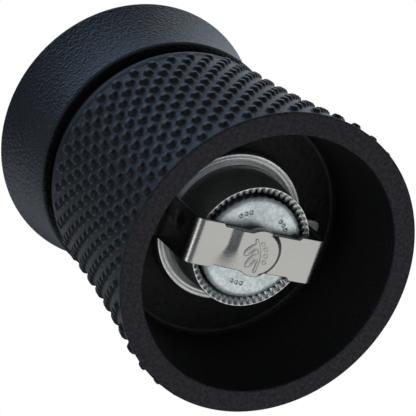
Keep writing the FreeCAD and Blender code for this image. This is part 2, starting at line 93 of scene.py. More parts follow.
# Head casting: outline as (r, z), dished top with the knob's pad, hollow for the plug.
HEAD_RIM_R = 29.06 * MM
HEAD_WAIST = (29.3 * MM, 65.0 * MM)
HEAD_EDGE = (HEAD_EDGE_R, 77.07 * MM)
DISH_R = 29.4 * MM
DISH_MIDDLE = (20.0 * MM, 75.3 * MM)
DISH_FOOT = (8.6 * MM, 74.6 * MM)
PAD_R = 8.2 * MM
PAD_TOP_Z = 75.0 * MM
INSERT_R = 3.7 * MM
PLUG_R = 22.0 * MM
PLUG_TOP_Z = 71.5 * MM
SPIGOT_R = 26.9 * MM
SPIGOT_TOP_Z = 60.0 * MM

# Bracket: a bent strip; half widths, boss with its sprig, joggle, bends, the legs' swelling as
# (y, z), and the feet's screws.
STRIP_T = 1.0 * MM
STRIP_HALF = 5.0 * MM
NARROW_HALF = 4.35 * MM
BOSS_R = 5.2 * MM
BOSS_RISE = 1.0 * MM
BOSS_RECESS_R = 4.1 * MM
BOSS_STEP = (4.45 * MM, 5.70 * MM)
SPRIG_SIZE = 1.22 * MM
SPRIG_RELIEF = 0.13 * MM
JOGGLE_X = 6.2 * MM
JOGGLE_HALF = 1.45 * MM
NARROW_TO_WIDE = (8.9 * MM, 9.7 * MM)
FOOT_CORNER_R = 1.4 * MM
STRIP_MID_Z = bracket_low.z + BOSS_RISE + STRIP_T / 2.0
FOOT_MID_Z = bracket_high.z - STRIP_T / 2.0
KNEE_X = 15.4 * MM
ANKLE_X = 15.75 * MM
FOOT_END_X = bracket_high.x
BEND_R = 1.9 * MM
SWELL_CENTRE = (-1.7 * MM, 14.6 * MM)
SWELL_REACH = (2.3 * MM, 3.0 * MM)
SWELL_RISE = 0.45 * MM
SCREW_X = 19.45 * MM

# Rotor: punched dots on its face, in groups (degrees), fine teeth up to TEETH_TOP_Z, then spiral
# blades.
ROTOR_TEETH = 40
ROTOR_BLADES = 6
TOOTH_LEAN = math.radians(14.0)
BLADE_TWIST = math.radians(75.0)
PUNCH_CIRCLE_R = 8.1 * MM
PUNCH_GROUPS = (24.0, 96.0, 168.0, 240.0, 312.0)
PUNCH_STEPS = (-8.5, 0.0, 8.5)
ROTOR_FACE_Z = rotor_low.z
ROTOR_FACE_R = 11.26 * MM
ROTOR_TOP_Z = rotor_high.z
TEETH_TOP_Z = 14.7 * MM

# Grinding ring: mouth, flange and its grooves, and the notches that the bracket's legs pass.
RING_TEETH = 55
RING_TOOTH_LEAN = math.radians(8.5)
RING_RIBS = 12
RIB_TWIST = math.radians(25.0)
MOUTH_R = 13.2 * MM
BEVEL_DEPTH = 0.9 * MM
FLANGE_FACE_Z = 20.84 * MM
FLANGE_R = 16.7 * MM
GROOVES = (15.2 * MM, 15.9 * MM)
NOTCH_X = 15.0 * MM
NOTCH_HALF = 5.3 * MM

# Rod: pivot, square length and thread. Top of the spring.
ROD_SIDE = 5.0 * MM
ROD_CORNER_R = 3.4 * MM
PIVOT_R = 2.3 * MM
PIVOT_Z = 8.4 * MM
ROD_FOOT_Z = 9.0 * MM
THREAD_FOOT_Z = 72.0 * MM
THREAD_R = 2.06 * MM
THREAD_DEPTH = 0.42 * MM
THREAD_PITCH = 0.8 * MM
ROD_TOP_Z = 78.0 * MM
SPRING_TOP_Z = 27.95 * MM

# Knob.
KNOB_FLUTES = 24
KNOB_R = knob_high.x
KNOB_FOOT_Z = knob_low.z
KNOB_TOP_Z = knob_high.z

# Studs: a staggered lattice of rounded bumps. The ground between them lies VALLEY_DROP below the
# outline, and meets it on two smooth bands. STUD_SECTION runs from the crown's edge to the foot, as
# (share of the half width and half height, share of the rise).
STUD_COLUMNS = 40
STUD_ROWS = 16
STUD_FIRST_Z = 3.15 * MM
STUD_PITCH_Z = 3.045 * MM
STUD_PHASE = math.radians(3.65)
STUD_HALF_WIDTH = 1.18 * MM
STUD_HALF_HEIGHT = 1.38 * MM
STUD_RISE = 0.85 * MM
VALLEY_DROP = 0.25 * MM
LOW_BAND = (1.3 * MM, 2.3 * MM)
HIGH_BAND = (50.2 * MM, 51.3 * MM)
STUD_SECTION = ((0.38, 1.0), (0.50, 0.98), (0.62, 0.88), (0.73, 0.68), (0.85, 0.41),
                (0.97, 0.17), (1.12, 0.03), (1.32, -0.10))

# Colours of the enamel, linear RGB.
BODY_DARK = (0.0062, 0.0086, 0.0150)
BODY_PALE = (0.0098, 0.0130, 0.0215)
# Near black in the cup: partly the enamel's own colour, partly painted shade.
CUP_BLACK_AND_SHADE = (0.0006, 0.0006, 0.0009)
RIM_DARK = (0.0045, 0.0036, 0.0068)
RIM_PALE = (0.0310, 0.0262, 0.0375)
# Painted highlight on the fillet in the cup's corner.
CORNER_HIGHLIGHT = (0.030, 0.030, 0.034)
WORN_EDGE = (0.085, 0.075, 0.068)
HEAD_DARK = (0.0075, 0.0100, 0.0180)
HEAD_PALE = (0.0125, 0.0160, 0.0265)
# Painted shade on the head's underside, over the dark gap at the neck.
HEAD_UNDERSIDE_SHADE = (0.0020, 0.0022, 0.0030)
# Painted highlight along the head's lower edge.
HEAD_EDGE_HIGHLIGHT = (0.0700, 0.0750, 0.0850)
# Painted shade on the studs' flanks.
STUD_FLANK_SHADE = (0.0025, 0.0032, 0.0052)
STUD_FOOT = (0.0120, 0.0165, 0.0270)
# Painted highlight on the studs' tops.
STUD_TOP_HIGHLIGHT = (0.0620, 0.0540, 0.0540)


# ---------------------------------------------------------------- mesh helpers

def link(name, mesh):
    """New object in the scene for a mesh."""
    obj = bpy.data.objects.new(name, mesh)
    bpy.context.scene.collection.objects.link(obj)
    return obj


def mesh_from(name, points, faces, smooth=True):
    """Object from points and faces, with normals turned outwards."""
    mesh = bpy.data.meshes.new(name)
    mesh.from_pydata([tuple(p) for p in points], [], faces)
    mesh.validate()
    work = bmesh.new()
    work.from_mesh(mesh)
    bmesh.ops.recalc_face_normals(work, faces=work.faces)
    work.to_mesh(mesh)
    work.free()
    mesh.polygons.foreach_set("use_smooth", [smooth] * len(mesh.polygons))
    return link(name, mesh)


def grid_faces(rows, columns, wrap_rows=False):
    """Quads of a tube whose point (row, column) has index row * columns + column."""
    faces = []
    last_row = rows if wrap_rows else rows - 1
    for i in range(last_row):
        for j in range(columns):
            below = i * columns
            above = ((i + 1) % rows) * columns
            right = (j + 1) % columns
            faces.append((below + j, below + right, above + right, above + j))
    return faces


def capped_faces(rows, columns):
    """Quads of a tube, with a cap on its first and its last row."""
    faces = grid_faces(rows, columns)
    faces.append(tuple(range(columns)))
    faces.append(tuple(range((rows - 1) * columns, rows * columns)))
    return faces


def full_turn(count):
    """Evenly spaced angles once round."""
    return np.arange(count) * TAU / count


def turned_points(rows, angles):
    """Points of rows of (radii, z) at the given angles; either may be a number or an array."""
    points = []
    cosines, sines = np.cos(angles), np.sin(angles)
    for radii, heights in rows:
        radii = np.broadcast_to(radii, angles.shape)
        heights = np.broadcast_to(heights, angles.shape)
        points += list(zip(radii * cosines, radii * sines, heights))
    return points


def closed_turning(name, rows, angles):
    """Closed solid from rows of (radii, z), the first row joined to the last."""
    faces = grid_faces(len(rows), len(angles), wrap_rows=True)
    return mesh_from(name, turned_points(rows, angles), faces)


def arc_points(start, middle, end, count):
    """Points of the circle arc through three (r, z) points, start left out."""
    (x1, y1), (x2, y2), (x3, y3) = start, middle, end
    d = 2 * (x1 * (y2 - y3) + x2 * (y3 - y1) + x3 * (y1 - y2))
    s1, s2, s3 = x1 * x1 + y1 * y1, x2 * x2 + y2 * y2, x3 * x3 + y3 * y3
    cx = (s1 * (y2 - y3) + s2 * (y3 - y1) + s3 * (y1 - y2)) / d
    cy = (s1 * (x3 - x2) + s2 * (x1 - x3) + s3 * (x2 - x1)) / d
    radius = math.hypot(x1 - cx, y1 - cy)
    a1 = math.atan2(y1 - cy, x1 - cx)
    a2 = math.atan2(y2 - cy, x2 - cx)
    a3 = math.atan2(y3 - cy, x3 - cx)
    sweep = (a3 - a1) % TAU
    if (a2 - a1) % TAU > sweep:
        sweep -= TAU
    angles = [a1 + sweep * (k + 1) / count for k in range(count)]
    return [(cx + radius * math.cos(a), cy + radius * math.sin(a)) for a in angles]


def rounded(profile, radius, steps=3):
    """Profile of (r, z[, own radius]) corners with each corner rounded."""
    result = []
    count = len(profile)
    for index, corner in enumerate(profile):
        here = Vector(corner[:2])
        wanted = corner[2] if len(corner) > 2 else radius
        before = Vector(profile[index - 1][:2]) - here
        after = Vector(profile[(index + 1) % count][:2]) - here
        reach = min(wanted, 0.45 * before.length, 0.45 * after.length)
        if reach < 1e-7:
            result.append((here.x, here.y))
            continue
        start = here + before.normalized() * reach
        end = here + after.normalized() * reach
        for k in range(steps + 1):
            t = k / steps
            p = start * (1 - t) ** 2 + here * (2 * t * (1 - t)) + end * t ** 2
            result.append((p.x, p.y))
    return result


def smoothstep(low, high, x):
    """Smooth 0 to 1 ramp between low and high, for numbers or arrays."""
    t = np.clip((x - low) / (high - low), 0.0, 1.0)
    return t * t * (3.0 - 2.0 * t)


# ---------------------------------------------------------------- materials

class Shader:
    """A Principled material with short ways to add the nodes that drive it."""

    def __init__(self, name, color, roughness, metallic=0.0):
        self.material = bpy.data.materials.new(name)
        self.material.use_nodes = True
        self.tree = self.material.node_tree
        self.bsdf = self.tree.nodes["Principled BSDF"]
        self.set("Base Color", (*color, 1.0))
        self.set("Roughness", roughness)
        self.set("Metallic", metallic)
        self.position = self.tree.nodes.new("ShaderNodeTexCoord").outputs["Object"]

    def set(self, socket, value):
        """Constant on the shader's own socket."""
        self.bsdf.inputs[socket].default_value = value

    def node(self, kind, **settings):
        """New node with its settings."""
        node = self.tree.nodes.new(kind)
        for key, value in settings.items():
            setattr(node, key, value)
        return node

    def wire(self, source, target):
        """Link between two sockets."""
        self.tree.links.new(source, target)

    def math(self, operation, a, b=None):
        """Math node of two sockets or numbers."""
        node = self.node("ShaderNodeMath", operation=operation)
        for index, value in enumerate((a, b)):
            if value is None:
                continue
            if isinstance(value, (int, float)):
                node.inputs[index].default_value = value
            else:
                self.wire(value, node.inputs[index])
        return node.outputs[0]

    def stretched(self, scale):
        """Object position scaled by a vector."""
        node = self.node("ShaderNodeMapping")
        node.inputs["Scale"].default_value = scale
        self.wire(self.position, node.inputs["Vector"])
        return node.outputs[0]

    def noise(self, scale, detail=4.0, rough=0.55, vector=None):
        """Noise value from 0 to 1; scale is in cycles per metre."""
        node = self.node("ShaderNodeTexNoise")
        node.inputs["Scale"].default_value = scale
        node.inputs["Detail"].default_value = detail
        node.inputs["Roughness"].default_value = rough
        self.wire(vector or self.position, node.inputs["Vector"])
        return node.outputs["Fac"]

    def cells(self, scale):
        """Distance to the nearest of a scatter of points; scale is in cells per metre."""
        node = self.node("ShaderNodeTexVoronoi", feature="SMOOTH_F1")
        node.inputs["Scale"].default_value = scale
        node.inputs["Smoothness"].default_value = 0.6
        self.wire(self.position, node.inputs["Vector"])
        return node.outputs["Distance"]

    def ramp(self, value, low, high, start=0.0, end=1.0):
        """Value mapped from the range low..high to start..end, clamped."""
        node = self.node("ShaderNodeMapRange", clamp=True, interpolation_type="SMOOTHSTEP")
        sockets = ("From Min", "From Max", "To Min", "To Max")
        for socket, number in zip(sockets, (low, high, start, end)):
            node.inputs[socket].default_value = number
        self.wire(value, node.inputs["Value"])
        return node.outputs["Result"]

    def fall(self, value, low, high):
        """1 below low, 0 above high, smooth between."""
        return self.math("SUBTRACT", 1.0, self.ramp(value, low, high))

    def both(self, first, second):
        """Product of two masks or numbers."""
        return self.math("MULTIPLY", first, second)

    def blend(self, factor, first, second):
        """Colour mix; first and second are sockets or RGB."""
        node = self.node("ShaderNodeMix", data_type="RGBA")
        self.wire(factor, node.inputs["Factor"])
        for socket, value in (("A", first), ("B", second)):
            target = [s for s in node.inputs if s.name == socket and s.type == "RGBA"][0]
            if isinstance(value, tuple):
                target.default_value = (*value, 1.0)
            else:
                self.wire(value, target)
        return [s for s in node.outputs if s.type == "RGBA"][0]

    def separate(self):
        """X, Y, Z sockets of the object position."""
        node = self.node("ShaderNodeSeparateXYZ")
        self.wire(self.position, node.inputs[0])
        return node.outputs["X"], node.outputs["Y"], node.outputs["Z"]

    def radius(self):
        """Distance from the mill's axis."""
        x, y, _ = self.separate()
        squares = self.math("ADD", self.both(x, x), self.both(y, y))
        return self.math("SQRT", squares)

    def bump(self, height, distance, strength=1.0):
        """Adds a bump layer on top of those added before."""
        node = self.node("ShaderNodeBump")
        node.inputs["Distance"].default_value = distance
        node.inputs["Strength"].default_value = strength
        self.wire(height, node.inputs["Height"])
        link_in = self.bsdf.inputs["Normal"].links
        if link_in:
            self.wire(link_in[0].from_socket, node.inputs["Normal"])
        self.wire(node.outputs["Normal"], self.bsdf.inputs["Normal"])

    def color(self, socket):
        """Drives the base colour."""
        self.wire(socket, self.bsdf.inputs["Base Color"])

    def rough(self, socket):
        """Drives the roughness."""
        self.wire(socket, self.bsdf.inputs["Roughness"])


def paint_for_body():
    """Body enamel: finely grained, black with painted shade in the cup, a painted highlight in its
    corner, matt and speckled under the rim.
    """
    s = Shader("satin_enamel_body", (0.012, 0.015, 0.021), 0.42)
    s.set("Specular IOR Level", 0.42)
    radius = s.radius()
    _, _, height = s.separate()
    cloud = s.noise(90.0, 3.0)
    fine = s.noise(2600.0, 3.0, 0.6)
    paint = s.blend(s.ramp(cloud, 0.3, 0.7), BODY_DARK, BODY_PALE)
    # The cup is everything inside the rim and below its ceiling. Its near black is partly the
    # enamel's own colour and partly painted shade of the deep cup.
    inside = s.fall(radius, RIM_INNER_R - 0.2 * MM, RIM_INNER_R + 0.3 * MM)
    low = s.fall(height, FLOOR_Z + 1.44 * MM, FLOOR_Z + 2.44 * MM)
    cup = s.both(inside, low)
    paint = s.blend(cup, paint, CUP_BLACK_AND_SHADE)
    # The face that the mill stands on.
    foot = s.fall(height, 0.05 * MM, 0.35 * MM)
    grain = s.ramp(s.noise(1150.0, 3.0, 0.75), 0.38, 0.62)
    paint = s.blend(foot, paint, s.blend(grain, RIM_DARK, RIM_PALE))
    # Painted highlight: a paler line on the fillet in the corner between the cup's ceiling and its
    # wall.
    corner = s.both(s.ramp(radius, FLOOR_R - 0.85 * MM, FLOOR_R - 0.55 * MM),
                    s.fall(radius, FLOOR_R - 0.30 * MM, FLOOR_R - 0.05 * MM))
    paint = s.blend(s.both(corner, cup), paint, CORNER_HIGHLIGHT)
    # Chips along the inner edge of the standing face.
    speck = s.ramp(s.noise(1700.0, 2.0, 0.7), 0.66, 0.72)
    lip = s.both(s.ramp(radius, RIM_INNER_R - 0.1 * MM, RIM_INNER_R + 0.15 * MM),
                 s.fall(radius, RIM_INNER_R + 0.5 * MM, RIM_INNER_R + 1.1 * MM))
    worn = s.both(s.both(speck, lip), foot)
    s.color(s.blend(worn, paint, WORN_EDGE))
    base_rough = s.ramp(fine, 0.25, 0.75, 0.31, 0.45)
    matt = s.math("ADD", base_rough, s.both(foot, 0.25))
    s.rough(s.math("ADD", matt, s.both(cup, 0.22)))
    s.bump(s.noise(1500.0, 4.0, 0.65), 0.00034, 0.8)
    s.bump(s.noise(420.0, 2.0), 0.00020, 0.4)
    ceiling = s.both(cup, s.ramp(height, FLOOR_Z - 1.06 * MM, FLOOR_Z - 0.46 * MM))
    s.bump(s.both(s.noise(800.0, 3.0, 0.6), ceiling), 0.00070, 0.8)
    return s.material


def paint_for_head():
    """Enamel over a finely pebbled casting: painted shade on the underside, a painted highlight
    along the lower edge.
    """
    s = Shader("pebbled_enamel_head", (0.010, 0.013, 0.019), 0.40)
    cloud = s.noise(70.0, 3.0)
    paint = s.blend(s.ramp(cloud, 0.3, 0.7), HEAD_DARK, HEAD_PALE)
    _, _, height = s.separate()
    # Painted shade on the underside, which faces the dark gap over the body's neck.
    low = s.fall(height, HEAD_RIM_Z + 0.20 * MM, HEAD_RIM_Z + 0.50 * MM)
    outer = s.ramp(s.radius(), HEAD_RIM_R - 0.30 * MM, HEAD_RIM_R - 0.12 * MM)
    paint = s.blend(low, paint, HEAD_UNDERSIDE_SHADE)
    # Painted highlight along the outer edge of the underside.
    s.color(s.blend(s.both(low, outer), paint, HEAD_EDGE_HIGHLIGHT))
    s.rough(s.ramp(s.noise(2200.0, 3.0, 0.6), 0.25, 0.75, 0.33, 0.48))
    s.bump(s.cells(1500.0), 0.00026, 0.75)
    s.bump(s.noise(2300.0, 3.0, 0.65), 0.00012, 0.7)
    return s.material


def turned_metal(name, color, roughness, grain=2200.0, tint=0.12, bump=0.5, ring_scale=0.0):
    """Blasted or finely turned grey metal; ring_scale adds concentric tool marks."""
    s = Shader(name, color, roughness, 1.0)
    light = tuple(min(1.0, c * (1.0 + tint)) for c in color)
    dark = tuple(c * (1.0 - tint) for c in color)
    cloud = s.both(s.noise(240.0, 4.0, 0.65), 0.5)
    mottle = s.math("ADD", cloud, s.both(s.noise(1300.0, 3.0, 0.7), 0.5))
    s.color(s.blend(s.ramp(mottle, 0.38, 0.62), dark, light))
    s.rough(s.ramp(s.noise(grain, 3.0, 0.6), 0.25, 0.75, roughness - 0.07, roughness + 0.09))
    s.bump(s.noise(grain, 3.0, 0.65), 0.00003, bump)
    if ring_scale:
        waves = s.math("SINE", s.both(s.radius(), ring_scale))
        s.bump(waves, 0.000008, 0.5)
    return s.material


def brushed_metal(name, color, roughness, along=(0.08, 1.0, 1.0), bump=0.6):
    """Sheet or bar with fine brush lines; along scales the noise, smallest in their direction."""
    s = Shader(name, color, roughness, 1.0)
    s.set("Anisotropic", 0.35)
    lines = s.noise(3800.0, 3.0, 0.6, s.stretched(along))
    light = tuple(min(1.0, c * 1.07) for c in color)
    dark = tuple(c * 0.90 for c in color)
    s.color(s.blend(s.ramp(lines, 0.3, 0.7), dark, light))
    s.rough(s.ramp(lines, 0.25, 0.75, roughness - 0.06, roughness + 0.10))
    s.bump(lines, 0.000012, bump)
    s.bump(s.noise(1900.0, 2.0), 0.00002, 0.35)
    return s.material


def moulded_plastic(name, color, roughness):
    """Matt injection-moulded plastic with a faint eroded grain."""
    s = Shader(name, color, roughness)
    light = tuple(min(1.0, c * 1.15) for c in color)
    dark = tuple(c * 0.88 for c in color)
    s.color(s.blend(s.ramp(s.noise(150.0, 3.0), 0.3, 0.7), dark, light))
    s.rough(s.ramp(s.noise(3000.0, 2.0), 0.3, 0.7, roughness - 0.05, roughness + 0.08))
    s.bump(s.noise(3200.0, 3.0), 0.00002, 0.5)
    return s.material


# ---------------------------------------------------------------- body casting

OUTLINE = [(BAND_R, BAND_Z)] + arc_points((BAND_R, BAND_Z), WAIST, SHOULDER, 400)
OUTLINE_R = [p[0] for p in OUTLINE]
OUTLINE_Z = [p[1] for p in OUTLINE]


def outline_radius(z):
    """Outer radius of the body casting between the rim band and the shoulder."""
    return float(np.interp(z, OUTLINE_Z, OUTLINE_R))


def valley_depth(z):
    """How far the ground between the studs lies below the outline; none on the smooth bands."""
    between = smoothstep(*LOW_BAND, z) * (1.0 - smoothstep(*HIGH_BAND, z))
    return VALLEY_DROP * float(between)


def paint_for_studs():
    """Body enamel on the studs: painted shade on the flanks, a painted highlight on the tops,
    glossier feet.
    """
    s = Shader("satin_enamel_studs", (0.012, 0.015, 0.021), 0.38)
    s.set("Specular IOR Level", 0.42)
    # Height above the ground between the studs, whose radius is close to a parabola in z.
    heights = STUD_FIRST_Z + STUD_PITCH_Z * np.arange(STUD_ROWS)
    grounds = [outline_radius(z) - VALLEY_DROP for z in heights]
    bend, slope, start = (float(c) for c in np.polyfit(heights, grounds, 2))
    _, _, height = s.separate()
    tilt = s.math("ADD", s.both(height, bend), slope)
    ground = s.math("ADD", s.both(height, tilt), start)
    rise = s.math("SUBTRACT", s.radius(), ground)
    # Painted highlight on the stud tops, broken up by noise.
    top_highlight = s.both(s.ramp(rise, STUD_RISE - 0.15 * MM, STUD_RISE - 0.01 * MM),
                    s.ramp(s.noise(1300.0, 3.0, 0.7), 0.30, 0.60, 0.35, 1.0))
    foot = s.fall(rise, 0.04 * MM, 0.30 * MM)
    # Painted shade: everything above the foot takes the dark flank colour.
    paint = s.blend(foot, STUD_FLANK_SHADE, STUD_FOOT)
    s.color(s.blend(top_highlight, paint, STUD_TOP_HIGHLIGHT))
    grain = s.ramp(s.noise(2600.0, 3.0, 0.6), 0.25, 0.75, 0.33, 0.45)
    s.rough(s.math("SUBTRACT", grain, s.both(foot, 0.10)))
    s.bump(s.noise(1500.0, 4.0, 0.65), 0.00030, 0.8)
    return s.material


def make_body_shell():
    """The whole body casting, inside and out, apart from its studs."""
    rows = []
    for z in np.arange(BAND_Z, SHOULDER[1], 0.5 * MM):
        rows.append((outline_radius(z) - valley_depth(z), z))
    shoulder_mid = (SHOULDER[0] - 0.45 * MM, SHOULDER[1] + 1.9 * MM)
    upper = arc_points(SHOULDER, shoulder_mid, SHOULDER_TOP, 7)
    inside = rounded([
        (NECK_R, NECK_FOOT_Z, 0.2 * MM),
        (NECK_R, NECK_TOP_Z, 0.3 * MM),
        (SEAT_R, NECK_TOP_Z, 0.3 * MM),
        (SEAT_R, SEAT_Z, 0.1 * MM),
        (CHAMBER_R, SEAT_Z, 0.5 * MM),
        (CHAMBER_R, CHAMBER_FLOOR_Z, 2.0 * MM),
        (BORE_R + 1.2 * MM, FUNNEL_Z, 0.6 * MM),
        (BORE_R, FUNNEL_Z, 0.2 * MM),
        (BORE_R, FLOOR_Z, 0.2 * MM),
        (FLOOR_R, FLOOR_Z, 0.8 * MM),
        (RIM_INNER_R, 0.0, 0.45 * MM),
        (BASE_R, 0.0, EDGE_R),
        (BAND_R, BAND_Z, 0.0),
    ], 0.3 * MM, 4)
    # The last corner is where the outline starts, so it is left out.
    rows += upper + [p for p in inside if p != inside[-1]]
    shell = closed_turning("body_shell", rows, full_turn(320))
    shell.data.materials.append(paint_for_body())
    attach(shell, "mill_body")
    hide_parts("body_casting")
    return shell


def make_studs():
    """The staggered studs, each a low rounded button with a flared foot."""
    around = 16
    turns = full_turn(around)
    step = TAU / STUD_COLUMNS
    points, faces = [], []
    for row in range(STUD_ROWS):
        centre_z = STUD_FIRST_Z + row * STUD_PITCH_Z
        offset = STUD_PHASE + (0.5 * step if (STUD_ROWS - 1 - row) % 2 else 0.0)
        for column in range(STUD_COLUMNS):
            angle = offset + column * step
            first = len(points)
            crown = outline_radius(centre_z) - valley_depth(centre_z) + STUD_RISE
            points.append((crown * math.cos(angle), crown * math.sin(angle), centre_z))
            for reach, share in STUD_SECTION:
                for turn in turns:
                    z = centre_z + reach * STUD_HALF_HEIGHT * math.sin(turn)
                    ground = outline_radius(z) - valley_depth(z)
                    a = angle + reach * STUD_HALF_WIDTH * math.cos(turn) / ground
                    radius = ground + share * STUD_RISE
                    points.append((radius * math.cos(a), radius * math.sin(a), z))
            for k in range(around):
                faces.append((first, first + 1 + k, first + 1 + (k + 1) % around))
            for i in range(len(STUD_SECTION) - 1):
                low, high = first + 1 + i * around, first + 1 + (i + 1) * around
                for k in range(around):
                    after = (k + 1) % around
                    faces.append((low + k, high + k, high + after, low + after))
            last = first + 1 + (len(STUD_SECTION) - 1) * around
            faces.append(tuple(last + k for k in range(around)))
    studs = mesh_from("body_studs", points, faces)
    studs.data.materials.append(paint_for_studs())
    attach(studs, "mill_body")
    return studs


def make_foot_pads():
    """Cast pads that the bracket's feet stand on."""
    top, hole_r = bracket_high.z, 1.25 * MM
    profile = rounded([
        (hole_r, top),
        (3.4 * MM, top, 0.35 * MM),
        (3.6 * MM, FLOOR_Z + 0.2 * MM),
        (hole_r, FLOOR_Z + 0.2 * MM),
    ], 0.1 * MM)
    for index, side in enumerate((-1, 1)):
        pad = closed_turning("foot_pad_%d" % (index + 1), profile, full_turn(64))
        pad.location = (side * SCREW_X, 0, 0)
        pad.data.materials.append(bpy.data.materials["satin_enamel_body"])
        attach(pad, "mill_body")


# ---------------------------------------------------------------- head casting

def make_head_shell():
    """Flared head with a dished top and a raised pad under the knob."""
    side = [(HEAD_RIM_R, HEAD_RIM_Z + 0.35 * MM)]
    side += arc_points(side[0], HEAD_WAIST, HEAD_EDGE, 40)
    lip = arc_points(HEAD_EDGE, (HEAD_EDGE_R - 0.25 * MM, HEAD_TOP_Z - 0.25 * MM),
                     (HEAD_EDGE_R - 0.9 * MM, HEAD_TOP_Z), 8)
    dish_start = (DISH_R, HEAD_TOP_Z)
    dish = arc_points(dish_start, DISH_MIDDLE, DISH_FOOT, 40)
    rest = rounded([
        (*DISH_FOOT, 0.0),
        (PAD_R, PAD_TOP_Z, 0.15 * MM),
        (INSERT_R, PAD_TOP_Z, 0.15 * MM),
        (INSERT_R, PLUG_TOP_Z, 0.2 * MM),
        (PLUG_R, PLUG_TOP_Z, 0.6 * MM),
        (PLUG_R, SPIGOT_TOP_Z, 0.3 * MM),
        (SPIGOT_R, SPIGOT_TOP_Z, 0.3 * MM),
        (SPIGOT_R, HEAD_RIM_Z, 0.25 * MM),
        (HEAD_RIM_R - 0.35 * MM, HEAD_RIM_Z, 0.12 * MM),
    ], 0.2 * MM)
    profile = side + lip + [dish_start] + dish + rest[1:]
    head = closed_turning("head_shell", profile, full_turn(320))
    head.data.materials.append(paint_for_head())
    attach(head, "head")
    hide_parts("head_casting")
    return head


# ---------------------------------------------------------------- bracket

def bracket_line():
    """Samples (x, z, normal x, normal z) of the strip's middle line, left foot to right foot."""
    flat_end = KNEE_X - BEND_R
    half = [(x, STRIP_MID_Z, 0.0, -1.0) for x in np.arange(0.0, flat_end - 0.05 * MM, 0.15 * MM)]
    knee_z = STRIP_MID_Z + BEND_R
    for a in np.linspace(-math.pi / 2, 0.0, 13):
        c, s = math.cos(a), math.sin(a)
        half.append((flat_end + BEND_R * c, knee_z + BEND_R * s, c, s))
    ankle_z = FOOT_MID_Z - BEND_R
    length = math.hypot(ANKLE_X - KNEE_X, ankle_z - knee_z)
    nx, nz = (ankle_z - knee_z) / length, -(ANKLE_X - KNEE_X) / length
    for t in np.linspace(0.0, 1.0, 40)[1:-1]:
        half.append((KNEE_X + t * (ANKLE_X - KNEE_X), knee_z + t * (ankle_z - knee_z), nx, nz))
    for a in np.linspace(math.pi, math.pi / 2, 11):
        c, s = math.cos(a), math.sin(a)
        half.append((ANKLE_X + BEND_R + BEND_R * c, ankle_z + BEND_R * s, -c, -s))
    for x in np.linspace(ANKLE_X + BEND_R, FOOT_END_X, 22)[1:]:
        half.append((x, FOOT_MID_Z, 0.0, -1.0))
    left = [(-x, z, -nx, nz) for x, z, nx, nz in reversed(half[1:])]
    return left + half


def strip_half_width(x, z):
    """Half width of the strip at a sample of its middle line."""
    reach = abs(x)
    if z < STRIP_MID_Z + 0.2 * MM:
        wide = float(smoothstep(*NARROW_TO_WIDE, reach))
        half = NARROW_HALF + (STRIP_HALF - NARROW_HALF) * wide
        if reach < BOSS_R:
            half = max(half, math.sqrt(BOSS_R ** 2 - reach ** 2))
        return half
    past = max(0.0, reach - (FOOT_END_X - FOOT_CORNER_R))
    return STRIP_HALF - (FOOT_CORNER_R - math.sqrt(max(0.0, FOOT_CORNER_R ** 2 - past ** 2)))


def boss_rise(x, y):
    """How far the middle is pressed out: a round step to the right, a soft joggle to the left."""
    # Held within this y, the step keeps running out to the strip's edge instead of closing there.
    reach = np.hypot(x, np.clip(y, -4.4 * MM, 4.4 * MM))
    crisp = 1.0 - smoothstep(*BOSS_STEP, reach)
    # The joggle is longer and softer towards +Y.
    fade = smoothstep(-1.0 * MM, 4.6 * MM, y)
    half_run = JOGGLE_HALF + 2.3 * MM * fade
    joggle_x = -JOGGLE_X - 0.5 * MM * fade
    soft = smoothstep(joggle_x - half_run, joggle_x + half_run, x)
    return BOSS_RISE * np.where(x < 0.0, np.maximum(crisp, soft), crisp)


def segment_distance(u, v, a, b):
    """Distance of points (u, v) from the segment a to b."""
    ax, ay = a
    bx, by = b
    t = ((u - ax) * (bx - ax) + (v - ay) * (by - ay)) / ((bx - ax) ** 2 + (by - ay) ** 2)
    t = np.clip(t, 0.0, 1.0)
    return np.hypot(u - ax - t * (bx - ax), v - ay - t * (by - ay))


def sprig_relief(x, y):
    """Plain peppercorn sprig on the boss: a stem, berries and two leaves, in units of its size."""
    turn = math.radians(-20.0)
    u = (x * math.cos(turn) + y * math.sin(turn)) / SPRIG_SIZE
    v = (x * math.sin(turn) - y * math.cos(turn)) / SPRIG_SIZE
    stem = [(-0.9, -3.0), (-0.1, -1.2), (0.1, 0.6), (-0.4, 2.7)]
    height = np.zeros(np.shape(u))
    for a, b in zip(stem, stem[1:]):
        height = np.maximum(height, 1.0 - smoothstep(0.08, 0.42, segment_distance(u, v, a, b)))
    for cu, cv in ((0.95, -1.7), (1.25, -0.55), (1.25, 0.65), (0.75, 1.75)):
        height = np.maximum(height, 1.0 - smoothstep(0.12, 0.62, np.hypot(u - cu, v - cv)))
    for cu, cv, lean in ((-1.45, -0.9, 50.0), (-1.5, 1.1, 62.0)):
        c, s = math.cos(math.radians(lean)), math.sin(math.radians(lean))
        along = ((u - cu) * s + (v - cv) * c) / 1.35
        across = ((u - cu) * c - (v - cv) * s) / 0.62
        reach = np.hypot(along, across)
        outline = 1.0 - smoothstep(0.05, 0.38, np.abs(reach - 0.85))
        vein = (1.0 - smoothstep(0.06, 0.16, np.abs(across))) * (1.0 - smoothstep(0.7, 0.9, reach))
        height = np.maximum(height, np.maximum(outline, 0.7 * vein))
    return SPRIG_RELIEF * height


def leg_swell(y, z):
    """Shallow oval swelling of each leg."""
    across, along = (y - SWELL_CENTRE[0]) / SWELL_REACH[0], (z - SWELL_CENTRE[1]) / SWELL_REACH[1]
    return SWELL_RISE * (1.0 - smoothstep(0.0, 1.0, np.hypot(across, along)))


